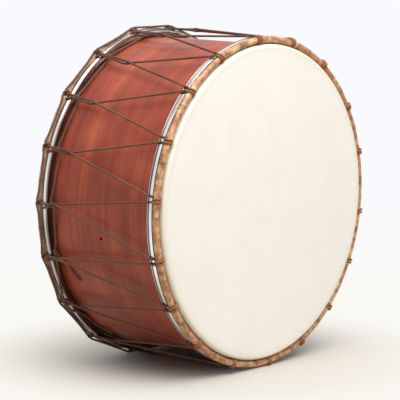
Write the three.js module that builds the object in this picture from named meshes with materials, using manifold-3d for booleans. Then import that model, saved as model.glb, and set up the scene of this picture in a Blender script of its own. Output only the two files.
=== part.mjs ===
// Tupan: a two-headed drum with a bent-wood shell, laced with one rope between two cane hoops.
// Lengths are in millimetres and angles in degrees. +Z is up and the drum's axis lies along Y.
// The drum stands on its rim with the struck head towards -Y, and the floor is at z = 0.

import * as THREE from 'three';
import { mergeVertices } from 'three/addons/utils/BufferGeometryUtils.js';
import Module from 'manifold-3d';

const wasm = await Module();
wasm.setup();

// Clearance between pieces that touch on the real drum, and the overrun of a cut
const clearance = 0.3;
const overrun = 5;

// Shell
const shellRadius = 277.5;
const shellDepth = 281;
const shellWall = 7;
const ventDiameter = 6;
const ventAngle = -99.3;
const ventReach = 3.7;

// Inner hoops glued inside the shell at each end
const innerHoopWall = 8;
const innerHoopWidth = 30;
const innerHoopInset = 3;
const innerHoopRound = 2;

// Heads
const filmThickness = 0.5;
const shoulderRadius = 6;
const rimTuck = 7;

// Flesh hoops: aluminium channels with their mouth towards the cane
const channelWidth = 9.8;
const channelHeight = 10;
const channelWall = 1;
const channelOffset = 3;
const channelChamfer = 1.5;
const grooveWidth = 1.2;
const grooveDepth = 0.5;
const grooveShare = 0.42;

// Cane hoops
const caneRadius = 6;
const caneSetback = 10;

// Rope: round on its strands, pulled flat where it goes round the cane
const ropeDiameter = 4;
const pinchedThickness = 1.8;
const pinchedWidth = 4.6;
const strandGap = 0.5;
const rideGap = 0.95;
const bearingFlatShare = 0.1;

// Where the rope leaves the channel's mouth: the way its outer side faces at the lip and above it, in degrees
const lipFacing = 72;
const overLipFacing = 36;
const overLipRoundShare = 0.3;

// Ties: the rope's turns on the front hoop, and its knots on the back hoop
const tieCount = 18;
const frontPitch = 7.5;
const frontTurns = 1.75;
const cutTurns = 1;
const farthestCrossing = 90;
const crossingHalf = 7;
const pairHalf = 2.85;
const crossingOver = 2.8;
const crossingUnder = 4.6;

// How finely round forms are divided
const ringSteps = 54;
const caneSides = 8;
const ventSides = 16;
const ropeSides = 5;
const turnSteps = 8;
const shoulderSteps = 3;
const ropeEndSides = 8;
const ropeEndStepShare = 2.2;

// How the rope's gap to itself is measured: spacing, near stretch left out, and how far along it is looked for
const measureShare = 0.25;
const nearShare = 3;
const searchSteps = 400;

// Hand-tied ties stand a little off their even spacing. Degrees, from the tie over the top round towards +X.
const frontTieShift = [
  -2.3, -3.1, -2.6, -0.5, -2.2, -0.2, -1.5, -1.9, -2.7,
  -3.1, -3, -1.5, -2, -3.8, -2.6, -2.4, -2.5, -3.8,
];
const backTieShift = [
  0.8, 0.6, 1.2, 0.4, 1, 0.3, 0.9, 0.5, -0.5,
  -0.5, 1.7, 3.3, 2.2, 0.9, 0.4, 0.3, 0.7, 1.1,
];

// Where the two strands of each back knot cross: in degrees off the knot, and as a share of the farthest
// crossing's reach from the cane's centre
const crossingShift = [
  -1.6, -1.2, -0.8, -1.1, -0.4, -0.9, -0.2, 0.5, 0.3,
  -0.6, -0.5, -0.9, 0, 0.7, -0.7, -1.8, -3.1, -2.2,
];
const crossingShares = [
  0.83, 0.76, 0.7, 0.56, 0.66, 0.58, 0.5, 0.62, 0.7,
  0.54, 0.6, 0.45, 0.4, 0.48, 0.69, 0.85, 1, 0.92,
];

// The rope's two ends, which come out from under the strands of one back knot. The short end lies on the shell.
// The long end goes over the flesh hoop and the next knot's strands, and back down along the hoop to the shell.
// Each row holds the angle round the drum, the radius from its axis and the reach along it.
const shortEndRoute = [
  [255, 284.6, 110.8],
  [254, 283.5, 110.6],
  [253, 282.3, 109.4],
  [252, 281.3, 107.4],
  [251, 280.5, 104.6],
  [250.2, 280.1, 101.6],
  [249.4, 280, 98.6],
  [248.5, 280, 95.2],
  [247.6, 280, 92],
  [246.8, 280, 89],
  [245.9, 280, 86],
  [245, 280, 83.2],
  [244.1, 280, 80.4],
  [243.2, 280, 77.4],
  [242.4, 280, 74],
];
const longEndRoute = [
  [255, 289.2, 108.4],
  [253.2, 288.9, 107.6],
  [251.4, 288.6, 107.4],
  [248.8, 289, 108.6],
  [246, 290.8, 109.8],
  [243.5, 292.8, 111.6],
  [241, 293.8, 114],
  [238.8, 294.2, 116.4],
  [236.9, 296, 118],
  [235, 297.8, 118.8],
  [233.3, 298.2, 118.4],
  [231.7, 297.7, 117.4],
  [230.2, 295.4, 114.8],
  [228.8, 292, 111.6],
  [227, 287.6, 110.4],
  [224.6, 283.6, 110.4],
  [221.8, 281, 110.4],
  [219, 280, 109.6],
  [216.8, 280, 107.4],
  [215.3, 280.2, 102.8],
  [214.5, 280.8, 97],
  [214.1, 282, 91],
  [214, 283.6, 85.4],
  [214.1, 285.6, 80.4],
];

const wood = new THREE.MeshStandardMaterial({ color: 0x8f4330, roughness: 0.35, metalness: 0 });
const innerWood = new THREE.MeshStandardMaterial({ color: 0xb98d5c, roughness: 0.7, metalness: 0 });
const film = new THREE.MeshStandardMaterial({ color: 0xf6f0e2, roughness: 0.45, metalness: 0 });
const aluminium = new THREE.MeshStandardMaterial({ color: 0xd2cfcc, roughness: 0.25, metalness: 1 });
const cane = new THREE.MeshStandardMaterial({ color: 0xc08d5c, roughness: 0.5, metalness: 0 });
const rope = new THREE.MeshStandardMaterial({ color: 0x5a3a28, roughness: 0.85, metalness: 0 });

// Places that follow from the sizes above. Radii are from the drum's axis, reaches along it from its middle.
const circle = Math.PI * 2;
const tieStep = 360 / tieCount;
const edgeReach = shellDepth / 2;
const faceReach = edgeReach + clearance + filmThickness;
const filmInside = shellRadius + clearance;
const filmOutside = filmInside + filmThickness;
const caneReach = faceReach - caneSetback;

// The rope's tight turns round the cane, measured from the cane's centre
const tightInside = caneRadius + clearance / Math.cos(Math.PI / caneSides);
const tightMiddle = tightInside + pinchedThickness / 2;
const tightOutside = tightInside + pinchedThickness;
const rideMiddle = tightOutside + rideGap + ropeDiameter / 2;
const caneRing = filmOutside + clearance + tightOutside;

// The channel's walls: radius from the drum's axis, and reach of the mouth that clears the rope's turns
const channelInside = filmOutside + channelOffset;
const channelOutside = channelInside + channelWidth;
const channelTrough = channelInside + channelWall;
const tuckInside = channelTrough + clearance;
const tuckOutside = tuckInside + filmThickness;
const clearTurns = tightOutside + clearance;
const outerLipDrop = Math.sqrt(clearTurns ** 2 - (channelOutside - channelWall - caneRing) ** 2);
const foldDrop = Math.sqrt(clearTurns ** 2 - (tuckOutside - caneRing) ** 2);
const outerLip = caneReach - outerLipDrop;
const foldFace = caneReach - foldDrop;
const foldUnderside = foldFace - filmThickness;
const innerLip = foldUnderside - clearance;
const channelBase = outerLip - channelHeight;
const strandLift = channelOutside - caneRing + strandGap + ropeDiameter / 2;

const radians = THREE.MathUtils.degToRad;

// A faceted ring is a little smaller between its corners. This is its radius as a share of that at a corner.
function facetShare(angle) {
  const step = 360 / ringSteps;
  const offMiddle = ((angle % step) + step) % step - step / 2;
  return Math.cos(radians(step / 2)) / Math.cos(radians(offMiddle));
}

// Revolves an outline of [radius, reach] pairs about the drum's axis. The outline goes up its outer side.
function revolve(outline) {
  const points = outline.map(([radius, reach]) => new THREE.Vector2(radius, reach));
  return new THREE.LatheGeometry(points, ringSteps);
}

// The same outline at the drum's front end, where reach runs the other way
function toFront(outline) {
  return outline.map(([radius, reach]) => [radius, -reach]).reverse();
}

// A quarter round from straight out to straight up, about a centre
function quarterRound(centreRadius, centreReach, size) {
  const points = [];
  for (let i = 0; i <= shoulderSteps; i += 1) {
    const turn = (Math.PI / 2) * (i / shoulderSteps);
    points.push([centreRadius + size * Math.cos(turn), centreReach + size * Math.sin(turn)]);
  }
  return points;
}

function toManifold(geometry) {
  const bare = geometry.clone();
  bare.deleteAttribute('normal');
  bare.deleteAttribute('uv');
  const merged = mergeVertices(bare);
  const solid = new wasm.Mesh({
    numProp: 3,
    vertProperties: new Float32Array(merged.attributes.position.array),
    triVerts: new Uint32Array(merged.index.array),
  });
  return new wasm.Manifold(solid);
}

function fromManifold(solid) {
  const mesh = solid.getMesh();
  const geometry = new THREE.BufferGeometry();
  geometry.setAttribute('position', new THREE.BufferAttribute(mesh.vertProperties, 3));
  geometry.setIndex(new THREE.BufferAttribute(mesh.triVerts, 1));
  geometry.computeVertexNormals();
  return geometry;
}

function named(name, geometry, material) {
  const mesh = new THREE.Mesh(geometry, material);
  mesh.name = name;
  return mesh;
}

// Shell: a tube with rounded outer edges that the heads bend over, bevelled inwards to a bearing edge
function makeShell() {
  const edgeRound = shoulderRadius - filmThickness - clearance;
  const crown = shellRadius - edgeRound;
  const inside = shellRadius - shellWall;
  const bevel = crown - inside;
  const upperEdge = quarterRound(crown, edgeReach - edgeRound, edgeRound);
  const upperHalf = [...upperEdge, [inside, edgeReach - bevel]];
  const outline = [...toFront(upperHalf), ...upperHalf];
  outline.push(outline[0]);
  const tube = toManifold(revolve(outline));
  const bore = ventDiameter / 2;
  const drill = new THREE.CylinderGeometry(bore, bore, shellWall + overrun, ventSides);
  drill.translate(0, shellRadius - shellWall / 2, 0);
  drill.rotateX(Math.PI / 2);
  drill.rotateY(radians(ventAngle));
  drill.translate(0, ventReach, 0);
  return named('shell', fromManifold(tube.subtract(toManifold(drill))), wood);
}

// Inner hoops: flat bent strips with softened inner edges
function innerHoopOutline() {
  const outside = shellRadius - shellWall - clearance;
  const inside = outside - innerHoopWall;
  const top = edgeReach - innerHoopInset;
  const bottom = top - innerHoopWidth;
  const outline = [
    [outside, bottom],
    [outside, top],
    [inside + innerHoopRound, top],
    [inside, top - innerHoopRound],
    [inside, bottom + innerHoopRound],
    [inside + innerHoopRound, bottom],
  ];
  outline.push(outline[0]);
  return outline;
}

// Head: a flat disc, a rounded shoulder, a collar down the shell, and a rim folded over into the channel
function headOutline() {
  const flatRadius = filmOutside - shoulderRadius;
  const shoulderReach = faceReach - shoulderRadius;
  const innerRound = shoulderRadius - filmThickness;
  const tuckEnd = foldFace - rimTuck;
  return [
    [0, faceReach - filmThickness],
    ...quarterRound(flatRadius, shoulderReach, innerRound).reverse(),
    [filmInside, foldUnderside],
    [tuckInside, foldUnderside],
    [tuckInside, tuckEnd],
    [tuckOutside, tuckEnd],
    [tuckOutside, foldFace],
    [filmOutside, foldFace],
    ...quarterRound(flatRadius, shoulderReach, shoulderRadius),
    [0, faceReach],
  ];
}

// Flesh hoop: a channel with softened bottom corners and a fine groove round its outer wall
function channelOutline() {
  const groove = outerLip - channelHeight * grooveShare;
  const floor = channelBase + channelWall;
  const troughOutside = channelOutside - channelWall;
  const outline = [
    [channelInside + channelChamfer, channelBase],
    [channelOutside - channelChamfer, channelBase],
    [channelOutside, channelBase + channelChamfer],
    [channelOutside, groove - grooveWidth / 2],
    [channelOutside - grooveDepth, groove],
    [channelOutside, groove + grooveWidth / 2],
    [channelOutside, outerLip],
    [troughOutside, outerLip],
    [troughOutside, floor],
    [channelTrough, floor],
    [channelTrough, innerLip],
    [channelInside, innerLip],
    [channelInside, channelBase + channelChamfer],
  ];
  outline.push(outline[0]);
  return outline;
}

// Cane hoop: a round stick bent to a ring
function caneOutline() {
  const outline = [];
  for (let i = 0; i <= caneSides; i += 1) {
    const turn = circle * (i % caneSides) / caneSides;
    outline.push([caneRing + caneRadius * Math.cos(turn), caneReach + caneRadius * Math.sin(turn)]);
  }
  return outline;
}

// A point at an angle, a radius and a reach, drawn in as the faceted rings under it are
function ringPoint(angle, radius, reach) {
  const fitted = radius * facetShare(angle);
  return new THREE.Vector3(fitted * Math.sin(radians(angle)), reach, fitted * Math.cos(radians(angle)));
}

// A place on the lacing, given by the hoop's side (-1 front, 1 back), the tie's angle, and three lengths from
// the cane's centre there: along the hoop, out from the drum's axis, and in towards the drum's middle.
function place(side, angle, along, out, inward) {
  const turned = angle + THREE.MathUtils.radToDeg(along / caneRing);
  return ringPoint(turned, caneRing + out, side * (caneReach - inward));
}

// A station of the rope: its centre, the way its outer side faces, and its section's thickness and width
function station(side, angle, along, out, inward, facing, round) {
  const turned = angle + THREE.MathUtils.radToDeg(along / caneRing);
  const outwards = new THREE.Vector3(Math.sin(radians(turned)), 0, Math.cos(radians(turned)));
  const lift = outwards.multiplyScalar(Math.cos(facing));
  lift.y -= side * Math.sin(facing);
  return {
    centre: place(side, angle, along, out, inward),
    lift,
    thickness: THREE.MathUtils.lerp(pinchedThickness, ropeDiameter, round),
    width: THREE.MathUtils.lerp(pinchedWidth, ropeDiameter, round),
  };
}

// A turn of rope round the cane. Turns are counted from the cane's outer side over its end face.
// Rise goes from 0, tight on the cane, to 1, riding over another turn.
function turnStation(side, angle, turns, along, rise) {
  const facing = -circle * turns;
  const away = THREE.MathUtils.lerp(tightMiddle, rideMiddle, rise);
  return station(side, angle, along, away * Math.cos(facing), away * Math.sin(facing), facing, rise);
}

// The way out from the mouth, between the cane and the channel's lip, and back over the channel's outer wall
function exitStations(side, angle, along) {
  const lipMiddle = channelOutside - channelWall - caneRing;
  const clearLip = clearance + pinchedThickness / 2;
  const atLip = outerLipDrop - clearLip;
  return [
    station(side, angle, along, lipMiddle, atLip - clearance, radians(lipFacing), 0),
    station(side, angle, along, strandLift - clearLip, atLip, radians(overLipFacing), overLipRoundShare),
    station(side, angle, along, strandLift, outerLipDrop + clearLip, 0, 1),
  ];
}

// The back knot: the rope goes once round, rides over itself, and goes round again beside it.
// Each row holds turns, place along the hoop as a share of the rope's diameter, and rise.
const knotShares = [
  [0, 0.6, 0],
  [1 / 8, 0.75, 0],
  [2 / 8, 0.9, 0],
  [3 / 8, 1.05, 0],
  [4 / 8, 1.2, 0],
  [5 / 8, 1.4, 0],
  [6 / 8, 1.65, 0],
  [7 / 8, 2, 0.4],
  [15 / 16, 1.45, 1],
  [1, 0.6, 1],
  [17 / 16, -0.1, 1],
  [9 / 8, -0.65, 0.4],
  [10 / 8, -0.85, 0],
  [11 / 8, -0.95, 0],
  [12 / 8, -1, 0],
  [13 / 8, -1.05, 0],
  [14 / 8, -1.1, 0],
];

function frontAlong(turns) {
  return frontPitch * (turns - frontTurns / 2);
}

function frontAngle(tie) {
  return tieStep * tie + frontTieShift[tie % tieCount];
}

function backAngle(tie) {
  return tieStep * (tie + 0.5) + backTieShift[tie % tieCount];
}

// One V of the lacing, from the middle of a front tie to a back knot and on to the middle of the next front tie
function spanStations(tie) {
  const stations = [];
  const front = frontAngle(tie);
  const back = backAngle(tie);
  const next = frontAngle(tie + 1);
  for (let i = cutTurns * turnSteps; i <= frontTurns * turnSteps; i += 1) {
    const turns = i / turnSteps;
    stations.push(turnStation(-1, front, turns, frontAlong(turns), 0));
  }
  stations.push(...exitStations(-1, front, frontAlong(frontTurns)));
  const crossing = back + crossingShift[tie];
  const crossingReach = farthestCrossing * crossingShares[tie];
  const paired = (along, out, inward) => station(1, crossing, along, out, inward, 0, 1);
  stations.push(paired(-pairHalf, strandLift, crossingReach + crossingHalf));
  stations.push(paired(0, strandLift + crossingOver, crossingReach));
  stations.push(paired(pairHalf, strandLift, crossingReach - crossingHalf));
  const arrival = outerLipDrop + clearance + pinchedThickness / 2;
  stations.push(station(1, back, knotShares[0][1] * ropeDiameter, strandLift, arrival, 0, 1));
  for (const [turns, alongShare, rise] of knotShares) {
    stations.push(turnStation(1, back, turns, alongShare * ropeDiameter, rise));
  }
  stations.push(...exitStations(1, back, knotShares[knotShares.length - 1][1] * ropeDiameter));
  stations.push(paired(-pairHalf, strandLift, crossingReach - crossingHalf));
  stations.push(paired(0, strandLift - crossingUnder, crossingReach));
  stations.push(paired(pairHalf, strandLift, crossingReach + crossingHalf));
  stations.push(station(-1, next, frontAlong(0), strandLift, arrival, 0, 1));
  for (let i = 0; i < cutTurns * turnSteps; i += 1) {
    const turns = i / turnSteps;
    stations.push(turnStation(-1, next, turns, frontAlong(turns), 0));
  }
  return stations;
}

// Section of the rope at a station: flat on its inner side, with the corners in the plane across its heading
function sectionPoints({ centre, lift, thickness, width }, heading) {
  const up = lift.clone().addScaledVector(heading, -lift.dot(heading)).normalize();
  const across = new THREE.Vector3().crossVectors(heading, up);
  const low = Math.cos(Math.PI / ropeSides);
  const widest = Math.sin(circle / ropeSides);
  const points = [];
  for (let i = 0; i < ropeSides; i += 1) {
    const turn = circle * i / ropeSides;
    const rise = ((Math.cos(turn) + low) / (1 + low) - 0.5) * thickness;
    const spread = Math.sin(turn) / widest * width / 2;
    points.push(centre.clone().addScaledVector(up, rise).addScaledVector(across, spread));
  }
  return points;
}

// A closed tube through rings of points, all of one count
function skinRings(rings) {
  const positions = rings.flat().flatMap((point) => [point.x, point.y, point.z]);
  const index = [];
  const last = (rings.length - 1) * ropeSides;
  for (let ring = 0; ring < rings.length - 1; ring += 1) {
    for (let i = 0; i < ropeSides; i += 1) {
      const a = ring * ropeSides + i;
      const b = ring * ropeSides + (i + 1) % ropeSides;
      index.push(a, b, a + ropeSides, b, b + ropeSides, a + ropeSides);
    }
  }
  for (let i = 1; i < ropeSides - 1; i += 1) {
    index.push(0, i + 1, i, last, last + i, last + i + 1);
  }
  const geometry = new THREE.BufferGeometry();
  geometry.setAttribute('position', new THREE.Float32BufferAttribute(positions, 3));
  geometry.setIndex(index);
  return geometry;
}

// The whole lacing as one closed route, then cut in the middle of each front tie
function makeLacing() {
  const spans = [];
  for (let tie = 0; tie < tieCount; tie += 1) {
    spans.push(spanStations(tie));
  }
  const route = spans.flat();
  const headings = route.map((here, i) => {
    const before = route[(i + route.length - 1) % route.length].centre;
    const after = route[(i + 1) % route.length].centre;
    return after.clone().sub(before).normalize();
  });
  const spanRings = [];
  let start = 0;
  for (const span of spans) {
    const rings = [];
    for (let i = 0; i <= span.length; i += 1) {
      const at = (start + i) % route.length;
      const shift = (i === 0 ? clearance / 2 : 0) - (i === span.length ? clearance / 2 : 0);
      const centre = route[at].centre.clone().addScaledVector(headings[at], shift);
      rings.push(sectionPoints({ ...route[at], centre }, headings[at]));
    }
    spanRings.push(rings);
    start += span.length;
  }
  return { spanRings, route };
}

// Least gap between stretches of the rope that aren't neighbours along it, on points of its centre line
function leastSelfGap(route) {
  const samples = [];
  const spacing = ropeDiameter * measureShare;
  let travelled = 0;
  for (let i = 0; i < route.length; i += 1) {
    const here = route[i];
    const next = route[(i + 1) % route.length];
    const reach = here.centre.distanceTo(next.centre);
    const parts = Math.max(1, Math.ceil(reach / spacing));
    for (let j = 0; j < parts; j += 1) {
      const half = THREE.MathUtils.lerp(here.thickness, next.thickness, j / parts) / 2;
      samples.push({ point: here.centre.clone().lerp(next.centre, j / parts), half, at: travelled });
      travelled += reach / parts;
    }
  }
  let least = Infinity;
  for (let i = 0; i < samples.length; i += 1) {
    for (let j = i + 1; j < Math.min(samples.length, i + searchSteps); j += 1) {
      if (samples[j].at - samples[i].at > ropeDiameter * nearShare) {
        const gap = samples[i].point.distanceTo(samples[j].point) - samples[i].half - samples[j].half;
        least = Math.min(least, gap);
      }
    }
  }
  return { least, length: travelled };
}

// A loose end of the rope: a round tube along its route
function makeRopeEnd(name, route) {
  const path = new THREE.CatmullRomCurve3(route.map((row) => ringPoint(...row)));
  const corners = [];
  for (let i = 0; i < ropeEndSides; i += 1) {
    const turn = circle * i / ropeEndSides;
    corners.push(new THREE.Vector2(Math.cos(turn), Math.sin(turn)).multiplyScalar(ropeDiameter / 2));
  }
  const steps = Math.round(path.getLength() / (ropeDiameter * ropeEndStepShare));
  const tube = new THREE.ExtrudeGeometry(new THREE.Shape(corners), { steps, extrudePath: path });
  console.log(`${name}: length ${path.getLength().toFixed(0)} mm`);
  return named(name, fromManifold(toManifold(tube)), rope);
}

const { spanRings, route } = makeLacing();

// The drum stands on the rope at its lowest ties, which is pressed flat there
const lowest = Math.min(...spanRings.flat(2).map((point) => point.z));
const floorLevel = lowest + ropeDiameter * bearingFlatShare;
for (const point of spanRings.flat(2)) {
  point.z = Math.max(point.z, floorLevel);
}
const { least, length } = leastSelfGap(route);
console.log(`rope: least self-gap ${least.toFixed(2)} mm, length ${(length / 1000).toFixed(2)} m`);

const drum = new THREE.Group();
drum.position.z = -floorLevel;
drum.add(makeShell());
for (const [end, turnRound] of [['front', toFront], ['back', (outline) => outline]]) {
  drum.add(named(`${end}_inner_hoop`, revolve(turnRound(innerHoopOutline())), innerWood));
  drum.add(named(`${end}_head`, revolve(turnRound(headOutline())), film));
  drum.add(named(`${end}_flesh_hoop`, revolve(turnRound(channelOutline())), aluminium));
  drum.add(named(`${end}_cane_hoop`, revolve(turnRound(caneOutline())), cane));
}
spanRings.forEach((rings, tie) => {
  drum.add(named(`lacing_${String(tie + 1).padStart(2, '0')}`, skinRings(rings), rope));
});
drum.add(makeRopeEnd('rope_end_short', shortEndRoute));
drum.add(makeRopeEnd('rope_end_long', longEndRoute));

const part = new THREE.Group();
part.add(drum);

export default part;
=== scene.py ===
# A tupan: a two-headed drum laced with rope. It is put together from the shell outwards, then stood on a pale
# floor. Lengths are in metres. The drum's axis lies along Y, and the struck head faces -Y.

import math

import bpy
import numpy as np
from mathutils import Matrix, Vector


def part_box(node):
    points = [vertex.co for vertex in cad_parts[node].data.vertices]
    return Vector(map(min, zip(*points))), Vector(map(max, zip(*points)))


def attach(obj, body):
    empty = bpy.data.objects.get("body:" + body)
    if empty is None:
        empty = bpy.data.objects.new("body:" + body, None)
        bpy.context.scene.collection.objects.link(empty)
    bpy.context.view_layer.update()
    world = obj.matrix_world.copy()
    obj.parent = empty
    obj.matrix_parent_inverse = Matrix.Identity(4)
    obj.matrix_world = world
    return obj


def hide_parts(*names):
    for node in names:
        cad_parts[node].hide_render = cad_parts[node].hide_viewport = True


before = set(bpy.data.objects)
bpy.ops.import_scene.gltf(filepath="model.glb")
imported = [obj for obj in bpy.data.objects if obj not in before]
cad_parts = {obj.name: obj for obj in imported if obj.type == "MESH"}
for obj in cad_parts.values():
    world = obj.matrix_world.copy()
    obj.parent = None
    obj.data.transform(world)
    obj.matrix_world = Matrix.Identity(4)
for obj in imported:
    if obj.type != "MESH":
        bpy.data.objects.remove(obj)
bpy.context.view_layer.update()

# Camera: a long lens about five metres away, to the drum's left and a little above its axis. It looks almost
# straight at the middle of the axis, and the last two small turns centre the drum as it is framed.
shell_low, shell_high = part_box("shell")
axis_height = (shell_low.z + shell_high.z) / 2
camera_azimuth = math.radians(-50.5499)
camera_elevation = math.radians(8.3825)
camera_distance = 5.1
camera_pan = math.radians(0.0773)
camera_tilt = math.radians(-0.093)
camera_lens = 256.8
sensor_side = 36
view_end = 100

camera_data = bpy.data.cameras.new("camera")
camera_data.lens = camera_lens
camera_data.sensor_width = sensor_side
camera_data.clip_end = view_end
camera = bpy.data.objects.new("camera", camera_data)
bpy.context.scene.collection.objects.link(camera)
bpy.context.scene.camera = camera
level_back = Vector((math.sin(camera_azimuth), -math.cos(camera_azimuth), 0))
back = level_back * math.cos(camera_elevation) + Vector((0, 0, math.sin(camera_elevation)))
right = Vector((0, 0, 1)).cross(back).normalized()
up = back.cross(right)
stand = Vector((0, 0, axis_height)) + back * camera_distance
panned = Matrix.Rotation(camera_pan, 3, up)
tilted = Matrix.Rotation(camera_tilt, 3, panned @ right)
turned = Matrix((panned @ right, tilted @ up, tilted @ (panned @ back))).transposed()
camera.matrix_world = Matrix.Translation(stand) @ turned.to_4x4()

# Shell: a strip of maple, steamed, bent round and glued into a cylinder, stained mahogany red and varnished.
# Its edges are eased for the heads to bend over, and a small vent is drilled half way along it.
shell_radius = 0.2775
shell_wall = 0.007
shell_reach = 0.1405
edge_round = 0.0052
edge_steps = 6
vent_radius = 0.003
vent_chamfer = 0.0004
vent_angle = math.radians(360 - 99.3)
vent_reach = 0.0037
vent_patch = 0.012
vent_lines = 17
vent_margin = 1.1
turn_lines = 360
tiny = 1e-9
grain_share = 0.28
band_share = 0.4
figure_share = 0.32
shade_ramp_reach = 0.116
# Numbers of a colour mix's inputs, which are its share and the colours it goes from and to, and its output
mix_share = 0
mix_from = 6
mix_to = 7
mix_result = 2


def colour(hex_value):
    """An sRGB hex colour in linear light: c/12.92 below 0.04045, and ((c + 0.055) / 1.055)^2.4 above."""
    level = np.array([int(hex_value[i : i + 2], 16) for i in (0, 2, 4)]) / 255
    linear = np.where(level < 0.04045, level / 12.92, ((level + 0.055) / 1.055) ** 2.4)
    return (*linear.tolist(), 1.0)


def material(name):
    """A new material with only a principled surface, and that surface's node."""
    made = bpy.data.materials.new(name)
    made.use_nodes = True
    return made, made.node_tree.nodes["Principled BSDF"]


def add(owner, kind, inputs=None, stops=None, **settings):
    """Adds a node to a material or world, with its settings. An input given as a socket is linked, others are
    values, and stops are the places and colours of a ramp."""
    node = owner.node_tree.nodes.new(kind)
    for name, value in settings.items():
        setattr(node, name, value)
    for name, value in (inputs or {}).items():
        if isinstance(value, bpy.types.NodeSocket):
            owner.node_tree.links.new(value, node.inputs[name])
        else:
            node.inputs[name].default_value = value
    if stops:
        elements = node.color_ramp.elements
        while len(elements) < len(stops):
            elements.new(1.0)
        for element, (place, tone) in zip(elements, stops):
            element.position = place
            element.color = tone if isinstance(tone, tuple) else (tone, tone, tone, 1.0)
    return node


def weighed(owner, *parts):
    """The sum of several sockets, each times its share."""
    total = None
    for socket, share in parts:
        inputs = {0: socket, 1: share} if total is None else {0: socket, 1: share, 2: total}
        kind = "MULTIPLY" if total is None else "MULTIPLY_ADD"
        total = add(owner, "ShaderNodeMath", inputs, operation=kind).outputs[0]
    return total


def feed(owner, shader, **sockets):
    """Links sockets to a shader's inputs, named with _ for a space."""
    for name, socket in sockets.items():
        owner.node_tree.links.new(socket, shader.inputs[name.replace("_", " ")])


def mesh_object(name, vertices, faces, sharp_above=35.0):
    """A smooth mesh object of points and faces. Points that no face uses go, and edges bent by more than the
    angle given stay sharp."""
    corners = np.concatenate([np.asarray(face).ravel() for face in faces])
    used, renumbered = np.unique(corners, return_inverse=True)
    lists, start = [], 0
    for face in faces:
        block = np.atleast_2d(face)
        lists += renumbered[start : start + block.size].reshape(block.shape).tolist()
        start += block.size
    mesh = bpy.data.meshes.new(name)
    mesh.from_pydata(vertices[used].tolist(), [], lists)
    mesh.polygons.foreach_set("use_smooth", np.ones(len(mesh.polygons), bool))
    mesh.set_sharp_from_angle(angle=math.radians(sharp_above))
    mesh.update()
    piece = bpy.data.objects.new(name, mesh)
    bpy.context.scene.collection.objects.link(piece)
    return piece


def dress(piece, finish, slot, *nodes):
    """Gives a piece its material, and has it ride on the drum, in place of the frame's nodes if there are
    any."""
    piece.data.materials.append(finish)
    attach(piece, "root")
    if nodes:
        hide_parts(*nodes)


def around(radius, reach, angle):
    """Points about the drum's axis: (radius sin a, reach, axis height + radius cos a)."""
    radius, reach, angle = np.broadcast_arrays(radius, reach, angle)
    return np.stack([radius * np.sin(angle), reach, axis_height + radius * np.cos(angle)], -1)


def grid_faces(rows, columns, wrap_rows=True):
    """Corner numbers of the quads between a grid's neighbouring points. Its columns close on themselves."""
    row = np.arange(rows if wrap_rows else rows - 1)[:, None]
    column = np.arange(columns)[None, :]
    far_row, far_column = (row + 1) % rows * columns, (column + 1) % columns
    near_row = row * columns
    corners = [near_row + column, near_row + far_column, far_row + far_column, far_row + column]
    return np.stack(corners, -1).reshape(-1, 4)


def softened(corners, rounds, steps):
    """A closed outline whose corners are arcs that touch both sides a given reach from the corner. With P the
    corner, A and B those ends and w the sine of half its angle, an arc is (1-t)^2 A + 2wt(1-t) P + t^2 B,
    divided by (1-t)^2 + 2wt(1-t) + t^2."""
    corner = np.array(corners, float)
    reach = np.array(rounds, float)[:, None]
    before, after = np.roll(corner, 1, 0) - corner, np.roll(corner, -1, 0) - corner
    before /= np.linalg.norm(before, axis=1)[:, None]
    after /= np.linalg.norm(after, axis=1)[:, None]
    weight = np.sqrt((1 - (before * after).sum(1)) / 2)[:, None, None]
    t = np.linspace(0, 1, steps)[None, :, None]
    pull = 2 * weight * t * (1 - t)
    ends = (1 - t) ** 2 * (corner + before * reach)[:, None] + t**2 * (corner + after * reach)[:, None]
    points = (ends + pull * corner[:, None]) / ((1 - t) ** 2 + pull + t**2)
    return points[np.arange(steps)[None, :] < np.where(reach > 0, steps, 1)]


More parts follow.
